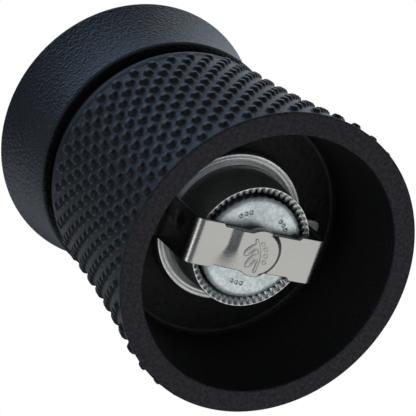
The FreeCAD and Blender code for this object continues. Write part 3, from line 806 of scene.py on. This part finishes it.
def make_bracket():
    """Bent stainless strip with pressed boss, sprig, swollen legs and softened edges."""
    edge = 0.17 * MM
    across = 66
    share = np.linspace(-1.0, 1.0, across)
    points = []
    for x, z, nx, nz in bracket_line():
        half = strip_half_width(x, z)
        ys = share * (half - edge)
        outer = np.full(across, STRIP_T / 2.0)
        inner = np.full(across, -STRIP_T / 2.0)
        if z < STRIP_MID_Z + 0.01 * MM:
            outer = outer + boss_rise(x, ys) + sprig_relief(x, ys)
            wall = (BOSS_RECESS_R - 0.1 * MM, BOSS_RECESS_R + 0.25 * MM)
            inner = inner + BOSS_RISE * (1.0 - smoothstep(*wall, np.hypot(x, ys)))
        elif abs(nz) < 0.5:
            outer = outer + leg_swell(ys, z)
            inner = inner + leg_swell(ys, z)
        section = list(zip(ys, outer))
        cut = edge * (1.0 - math.sqrt(0.5))
        section.append((half - cut, outer[-1] - cut))
        section.append((half, outer[-1] - edge))
        section.append((half, inner[-1] + edge))
        section.append((half - cut, inner[-1] + cut))
        section += list(zip(ys[::-1], inner[::-1]))
        section.append((-half + cut, inner[0] + cut))
        section.append((-half, inner[0] + edge))
        section.append((-half, outer[0] - edge))
        section.append((-half + cut, outer[0] - cut))
        points += [(x + nx * n, y, z + nz * n) for y, n in section]
    ring = len(section)
    strip = mesh_from("bracket_strip", points, capped_faces(len(points) // ring, ring))
    strip.data.materials.append(brushed_metal("brushed_stainless", (0.425, 0.417, 0.397), 0.28))
    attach(strip, "mill_body")
    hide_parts("bracket")
    return strip


# ---------------------------------------------------------------- rotor, ring, rod, spring

def square_radius(angles, side, corner_r):
    """Outline of a square bar about the axis whose corners are turned down."""
    flat = side / 2.0 / np.maximum(np.abs(np.cos(angles)), np.abs(np.sin(angles)))
    return np.minimum(flat, corner_r)


def tooth_wave(angles, count, turn, sharp=0.8):
    """Rounded zigzag from 0 at the roots to 1 at the tips."""
    phase = (angles - turn) * count / TAU % 1.0
    saw = 1.0 - np.abs(2.0 * phase - 1.0)
    return smoothstep(0.0, 1.0, saw) * (1.0 - sharp) + saw * sharp


def punch_marks(radius, angles):
    """Depth of the plain punched dots on the rotor's face."""
    depth = np.zeros(angles.shape)
    for group in PUNCH_GROUPS:
        for step in PUNCH_STEPS:
            a = math.radians(group + step)
            cx, cy = PUNCH_CIRCLE_R * math.cos(a), PUNCH_CIRCLE_R * math.sin(a)
            away = np.hypot(radius * np.cos(angles) - cx, radius * np.sin(angles) - cy)
            depth = np.maximum(depth, 1.0 - smoothstep(0.22 * MM, 0.54 * MM, away))
    return 0.22 * MM * depth


def make_rotor():
    """Grinding cone: flat face with punched dots, helical teeth, spiral blades."""
    angles = full_turn(ROTOR_TEETH * 10)
    play = 0.02 * MM
    bore = square_radius(angles, ROD_SIDE + 2.0 * play, ROD_CORNER_R + play)
    # Flat face with its dots, then the rounded outer edge.
    rows = [(bore, ROTOR_FACE_Z + 0.15 * MM), (bore + 0.15 * MM, ROTOR_FACE_Z)]
    for radius in np.arange(3.9 * MM, 6.9 * MM, 0.6 * MM):
        rows.append((radius, ROTOR_FACE_Z))
    for radius in np.arange(7.2 * MM, 9.01 * MM, 0.15 * MM):
        rows.append((radius, ROTOR_FACE_Z + punch_marks(radius, angles)))
    for radius, drop in ((9.5, 0.0), (10.0, 0.02), (10.4, 0.07), (10.65, 0.15)):
        rows.append((radius * MM, ROTOR_FACE_Z + drop * MM))
    # Teeth: low at the face, full height from a third of the way up.
    lean = TOOTH_LEAN / (TEETH_TOP_Z - ROTOR_FACE_Z)
    wave = tooth_wave(angles, ROTOR_TEETH, 0.0)
    rows.append((ROTOR_FACE_R - 0.36 * MM + 0.06 * MM * wave, ROTOR_FACE_Z + 0.27 * MM))
    for share in np.linspace(0.0, 1.0, 15):
        z = ROTOR_FACE_Z + 0.4 * MM + share * (TEETH_TOP_Z - ROTOR_FACE_Z - 0.4 * MM)
        wave = tooth_wave(angles, ROTOR_TEETH, lean * (z - ROTOR_FACE_Z))
        grow = float(smoothstep(0.0, 0.35, share))
        root = 10.92 - 1.07 * share + 0.22 * (1.0 - grow)
        rows.append((root * MM + (0.10 + 0.56 * grow) * MM * wave, z))
    # Blades, tapering to the top.
    for share in np.linspace(0.0, 1.0, 25):
        z = TEETH_TOP_Z + share * (ROTOR_TOP_Z - TEETH_TOP_Z)
        wave = tooth_wave(angles, ROTOR_BLADES, BLADE_TWIST * share, 0.6)
        rows.append(((7.6 - 2.4 * share) * MM + (2.2 - 1.2 * share) * MM * wave, z))
    rows.append((bore + 0.1 * MM, ROTOR_TOP_Z))
    rows.append((bore, ROTOR_TOP_Z - 0.1 * MM))
    rotor = closed_turning("rotor_cone", rows, angles)
    rotor.data.materials.append(turned_metal("zinc_rotor", (0.60, 0.65, 0.66), 0.44, 1900.0,
                                             tint=0.20, bump=0.8))
    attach(rotor, "spindle")
    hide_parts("rotor")
    return rotor


def make_ring():
    """Grinding ring: grooved flange with two notches, drafted nose, toothed mouth, coarse ribs."""
    angles = full_turn(RING_TEETH * 12)
    front, flange = stator_low.z, FLANGE_FACE_Z

    def teeth(z):
        """Teeth at height z, 0 in the gaps and 1 on the crests."""
        turn = RING_TOOTH_LEAN * (z - front) / (TEETH_TOP_Z - front)
        phase = (angles - turn) * RING_TEETH / TAU % 1.0
        return smoothstep(0.12, 0.72, 1.0 - np.abs(2.0 * phase - 1.0))

    def notched(radius):
        """Flange edge, cut straight where the bracket's legs pass."""
        in_slot = np.abs(radius * np.sin(angles)) < NOTCH_HALF
        cut = NOTCH_X / np.maximum(np.abs(np.cos(angles)), 0.1)
        return np.where(in_slot, np.minimum(radius, cut), radius)

    # From the top down: coarse ribs, fine teeth, then the bevel at the mouth, which is deeper in
    # the gaps than on the crests.
    rows = []
    for share in np.linspace(1.0, 0.0, 14):
        z = TEETH_TOP_Z + share * (stator_high.z - TEETH_TOP_Z)
        rib = tooth_wave(angles, RING_RIBS, -RIB_TWIST * share, 0.5)
        rows.append(((12.3 + 0.9 * share) * MM - (1.6 - 0.6 * share) * MM * rib, z))
    for share in np.linspace(1.0, 0.0, 12):
        z = front + BEVEL_DEPTH + share * (TEETH_TOP_Z - front - BEVEL_DEPTH)
        rows.append(((12.85 - 1.05 * share) * MM - (0.98 - 0.18 * share) * MM * teeth(z), z))
    crest = teeth(front)
    for share in np.linspace(0.9, 0.06, 8):
        inward = 0.35 * (1.0 - crest) + 1.33 * crest
        gap_depth = BEVEL_DEPTH * share ** 0.6
        crest_depth = (0.48 * share + 0.42 * share ** 4) * MM
        depth = gap_depth * (1.0 - crest) + crest_depth * crest
        rows.append((MOUTH_R - inward * share * MM, front + depth))
    # Nose, its drafted side, and the grooved flange out to the cup's floor.
    rows += [
        (MOUTH_R, front),
        (13.35 * MM, front),
        (13.47 * MM, front + 0.12 * MM),
        (14.10 * MM, flange - 0.15 * MM),
        (14.25 * MM, flange),
    ]
    for groove in GROOVES:
        for offset, depth in ((-0.14, 0.0), (-0.05, 0.10), (0.05, 0.10), (0.14, 0.0)):
            rows.append((notched(groove + offset * MM), flange + depth * MM))
    rows += [
        (notched(FLANGE_R - 0.25 * MM), flange),
        (notched(FLANGE_R - 0.08 * MM), flange + 0.08 * MM),
        (notched(FLANGE_R), flange + 0.25 * MM),
        (notched(FLANGE_R), FLOOR_Z),
        (BORE_R, FLOOR_Z),
        (BORE_R, stator_high.z),
    ]
    ring = closed_turning("grinding_ring", rows, angles)
    ring.data.materials.append(turned_metal("turned_ring_metal", (0.76, 0.765, 0.755), 0.40, 1700.0,
                                            ring_scale=26000.0))
    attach(ring, "mill_body")
    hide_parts("stator")
    return ring


def make_rod():
    """Square rod with a peened pivot below and a real thread at the top."""
    angles = full_turn(96)
    square = square_radius(angles, ROD_SIDE, ROD_CORNER_R)
    rows = []
    for share in (0.12, 0.35, 0.6, 0.85):
        rows.append((PIVOT_R * share, PIVOT_Z - 0.7 * MM * math.sqrt(1.0 - share ** 2)))
    rows.append((PIVOT_R, PIVOT_Z))
    rows.append((PIVOT_R, ROD_FOOT_Z))
    rows.append((square - 0.1 * MM, ROD_FOOT_Z))
    for z in (9.1, 20.0, 40.0, 60.0, 71.9):
        rows.append((square, z * MM))
    rows.append((square - 0.1 * MM, THREAD_FOOT_Z))
    rows.append((2.2 * MM, THREAD_FOOT_Z))
    for z in np.linspace(THREAD_FOOT_Z + 0.1 * MM, ROD_TOP_Z - 0.4 * MM, 56):
        wave = tooth_wave(angles, 1, z / THREAD_PITCH * TAU, 0.5)
        rows.append((THREAD_R + THREAD_DEPTH * wave, z))
    rows.append((2.0 * MM, ROD_TOP_Z - 0.3 * MM))
    rows.append((1.8 * MM, ROD_TOP_Z))
    rows.append((0.3 * MM, ROD_TOP_Z))
    rod = mesh_from("drive_rod", turned_points(rows, angles), capped_faces(len(rows), len(angles)))
    rod.data.materials.append(brushed_metal("drawn_steel_rod", (0.50, 0.50, 0.50), 0.34,
                                            (1.0, 1.0, 0.08)))
    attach(rod, "spindle")
    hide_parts("shaft")
    return rod


def make_spring():
    """Coil between the rotor and its washer."""
    wire, coil, turns = 0.35 * MM, 4.5 * MM, 2.5
    low = ROTOR_TOP_Z + wire + 0.05 * MM
    high = SPRING_TOP_Z - wire - 0.05 * MM
    steps, around = 150, 14
    points = []
    for i in range(steps + 1):
        a = TAU * turns * i / steps
        centre = Vector((coil * math.cos(a), coil * math.sin(a), low + (high - low) * i / steps))
        out = Vector((math.cos(a), math.sin(a), 0.0))
        for k in range(around):
            b = TAU * k / around
            points.append(centre + out * wire * math.cos(b) + Vector((0, 0, wire * math.sin(b))))
    spring = mesh_from("grind_coil", points, capped_faces(steps + 1, around))
    spring.data.materials.append(brushed_metal("spring_wire", (0.42, 0.42, 0.43), 0.32,
                                               (1.0, 1.0, 1.0)))
    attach(spring, "carrier")
    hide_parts("grind_spring")
    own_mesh(spring)
    return spring


# ---------------------------------------------------------------- knob

def make_knob():
    """Low steel knob: fluted grip, chamfered crown, domed top."""
    angles = full_turn(360)
    flute = (0.5 + 0.5 * np.cos(KNOB_FLUTES * angles)) ** 3
    crown_z = KNOB_TOP_Z - 0.9 * MM
    rows = [
        (INSERT_R, KNOB_FOOT_Z + 0.05 * MM),
        (INSERT_R + 0.15 * MM, KNOB_FOOT_Z),
        (KNOB_R - 0.35 * MM, KNOB_FOOT_Z),
        (KNOB_R - 0.12 * MM, KNOB_FOOT_Z + 0.10 * MM),
        (KNOB_R, KNOB_FOOT_Z + 0.35 * MM),
        (KNOB_R, KNOB_FOOT_Z + 0.55 * MM),
    ]
    for share in (0.15, 0.5, 0.85):
        depth = 0.35 * MM * math.sin(math.pi * share) ** 0.5
        z = KNOB_FOOT_Z + 0.7 * MM + share * (crown_z - KNOB_FOOT_Z - 1.5 * MM)
        rows.append((KNOB_R - depth * flute, z))
    rows.append((KNOB_R, crown_z - 0.65 * MM))
    rows.append((KNOB_R, crown_z - 0.40 * MM))
    rows.append((KNOB_R - 0.12 * MM, crown_z - 0.15 * MM))
    rows.append((KNOB_R - 0.5 * MM, crown_z))
    edge_r = KNOB_R - 0.6 * MM
    for share in np.linspace(1.0, 0.02, 18):
        rows.append((edge_r * share, KNOB_TOP_Z - 0.85 * MM * share ** 2))
    rows.append((0.1 * MM, KNOB_TOP_Z - 1.1 * MM))
    rows.append((INSERT_R, KNOB_TOP_Z - 1.1 * MM))
    knob = closed_turning("adjusting_knob", rows, angles)
    knob.data.materials.append(turned_metal("turned_knob_steel", (0.62, 0.62, 0.61), 0.26, 2600.0,
                                            tint=0.05, bump=0.3, ring_scale=42000.0))
    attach(knob, "knob")
    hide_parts("knob")
    return knob


# ---------------------------------------------------------------- finishes of the CAD nodes

def finish_cad_nodes():
    """Procedural finish and a small softened edge on every CAD node that isn't replaced."""
    plate = brushed_metal("stamped_plate_steel", (0.46, 0.46, 0.46), 0.34, (1.0, 0.1, 1.0))
    washer = turned_metal("washer_steel_satin", (0.48, 0.48, 0.47), 0.34, 2600.0)
    screws = turned_metal("plated_screw_steel", (0.42, 0.42, 0.42), 0.32, 3000.0)
    # Material, slot and edge width in millimetres.
    finishes = {
        "feed_bridge": (plate, "plate_steel", 0.08),
        "drive_plate": (plate, "plate_steel", 0.10),
        "spring_washer": (washer, "washer_steel", 0.05),
        "rotor_washer": (washer, "washer_steel", 0.05),
        "bracket_screws": (screws, "screw_steel", 0.05),
        "drive_plate_screws": (screws, "screw_steel", 0.05),
        "plug_screws": (screws, "screw_steel", 0.05),
        "bridge_bush": (turned_metal("bearing_bronze", (0.50, 0.34, 0.16), 0.36),
                        "bush_brass", 0.08),
        "knob_insert": (turned_metal("brass_insert", (0.60, 0.44, 0.20), 0.30),
                        "insert_brass", 0.08),
        "neck_bush": (moulded_plastic("bearing_plastic_black", (0.018, 0.018, 0.020), 0.45),
                      "bearing_plastic", 0.15),
        "head_plug": (moulded_plastic("plug_plastic_black", (0.021, 0.021, 0.024), 0.5),
                      "moulded_plastic", 0.2),
        "thrust_pad": (moulded_plastic("natural_pad_plastic", (0.55, 0.53, 0.46), 0.45),
                       "pad_plastic", 0.08),
        "knob_washer": (moulded_plastic("slip_film_plastic", (0.58, 0.56, 0.50), 0.4),
                        "slip_plastic", 0.05),
    }
    for name, (material, slot, width) in finishes.items():
        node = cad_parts[name]
        node.data.materials.clear()
        node.data.materials.append(material)
        bevel = node.modifiers.new("edge", "BEVEL")
        bevel.width = width * MM
        bevel.segments = 2
        bevel.limit_method = "ANGLE"
        bevel.angle_limit = math.radians(50.0)
        bevel.harden_normals = False


# ---------------------------------------------------------------- camera, light, floor

def make_camera():
    """Camera below and to the side of the mill, looking up into its cup.

    The axes were solved from circles measured in the photograph, so they are squared up here.
    """
    right = Vector((0.8577, -0.3206, -0.4020))
    up = Vector((-0.1650, -0.9121, 0.3754))
    back = right.cross(up).normalized()
    up = back.cross(right).normalized()
    right = up.cross(back).normalized()
    matrix = Matrix((right, up, back)).transposed().to_4x4()
    matrix.translation = Vector((-0.2631, -0.1379, -0.4191))
    data = bpy.data.cameras.new("photo_camera")
    data.lens = 216.35
    data.sensor_width = 36.0
    data.clip_start = 0.01
    data.clip_end = 10.0
    camera = bpy.data.objects.new("photo_camera", data)
    bpy.context.scene.collection.objects.link(camera)
    camera.matrix_world = matrix
    bpy.context.scene.camera = camera


def softbox(name, direction, distance, width, height, radiance, color=(1.0, 1.0, 1.0)):
    """Large soft area light of a given brightness that faces the middle of the mill."""
    middle = Vector((0.0, 0.0, 0.035))
    data = bpy.data.lights.new(name, "AREA")
    data.shape = "RECTANGLE"
    data.size = width
    data.size_y = height
    data.energy = radiance * math.pi * width * height
    data.color = color
    light = bpy.data.objects.new(name, data)
    bpy.context.scene.collection.objects.link(light)
    outward = Vector(direction).normalized()
    light.location = middle + outward * distance
    light.rotation_mode = "QUATERNION"
    light.rotation_quaternion = outward.to_track_quat("Z", "Y")
    light.visible_camera = False
    return light


def make_lights():
    """Softboxes above, below the cup, at the bracket's knee, beside and behind; dim surround.

    The camera sees the surround as plain white.
    """
    softbox("box_sky", (-0.20, -0.34, 0.92), 0.6, 0.38, 0.38, 1.0, (0.48, 0.68, 1.0))
    softbox("box_below", (0.487, 0.256, -0.835), 0.6, 0.55, 0.55, 0.98, (1.0, 1.0, 0.99))
    softbox("box_knee", (-0.73, 0.26, -0.63), 0.5, 0.45, 0.12, 2.4)
    softbox("box_side", (-0.25, 0.70, 0.60), 0.6, 0.35, 0.35, 0.60, (0.80, 0.90, 1.0))
    softbox("box_behind", (0.85, -0.27, 0.784), 0.8, 0.9, 0.9, 0.74, (0.78, 0.88, 1.0))
    world = bpy.data.worlds.new("studio_white")
    bpy.context.scene.world = world
    world.use_nodes = True
    tree = world.node_tree
    tree.nodes.clear()
    output = tree.nodes.new("ShaderNodeOutputWorld")
    seen = tree.nodes.new("ShaderNodeBackground")
    seen.inputs["Color"].default_value = (1.0, 1.0, 1.0, 1.0)
    seen.inputs["Strength"].default_value = 1.0
    around = tree.nodes.new("ShaderNodeBackground")
    around.inputs["Color"].default_value = (0.80, 0.90, 1.0, 1.0)
    around.inputs["Strength"].default_value = 0.16
    path = tree.nodes.new("ShaderNodeLightPath")
    mix = tree.nodes.new("ShaderNodeMixShader")
    tree.links.new(path.outputs["Is Camera Ray"], mix.inputs[0])
    tree.links.new(around.outputs[0], mix.inputs[1])
    tree.links.new(seen.outputs[0], mix.inputs[2])
    tree.links.new(mix.outputs[0], output.inputs["Surface"])


def make_floor():
    """Pale table top under the base rim, faintly glowing, and clear to the view from below."""
    side = 1.6
    corners = [(-side, -side, 0), (side, -side, 0), (side, side, 0), (-side, side, 0)]
    floor = mesh_from("studio_floor", corners, [(0, 1, 2, 3)], smooth=False)
    floor.location.z = -0.05 * MM
    s = Shader("pale_floor", (0.86, 0.86, 0.855), 0.7)
    s.color(s.blend(s.noise(6.0, 3.0), (0.84, 0.84, 0.835), (0.88, 0.88, 0.875)))
    output = [n for n in s.tree.nodes if n.type == "OUTPUT_MATERIAL"][0]
    clear = s.node("ShaderNodeBsdfTransparent")
    facing = s.node("ShaderNodeNewGeometry")
    mix = s.node("ShaderNodeMixShader")
    s.wire(facing.outputs["Backfacing"], mix.inputs[0])
    s.wire(s.bsdf.outputs[0], mix.inputs[1])
    s.wire(clear.outputs[0], mix.inputs[2])
    s.wire(mix.outputs[0], output.inputs["Surface"])
    s.set("Emission Color", (1.0, 1.0, 0.99, 1.0))
    s.set("Emission Strength", 0.30)
    floor.data.materials.append(s.material)
    floor.visible_diffuse = False
    floor.visible_glossy = False
    floor.visible_transmission = False
    floor.visible_shadow = False
    return floor


make_body_shell()
make_studs()
make_foot_pads()
make_head_shell()
make_bracket()
make_ring()
make_rotor()
make_rod()
make_spring()
make_knob()
finish_cad_nodes()
make_camera()
make_lights()
make_floor()
bpy.context.scene.view_settings.view_transform = "Standard"
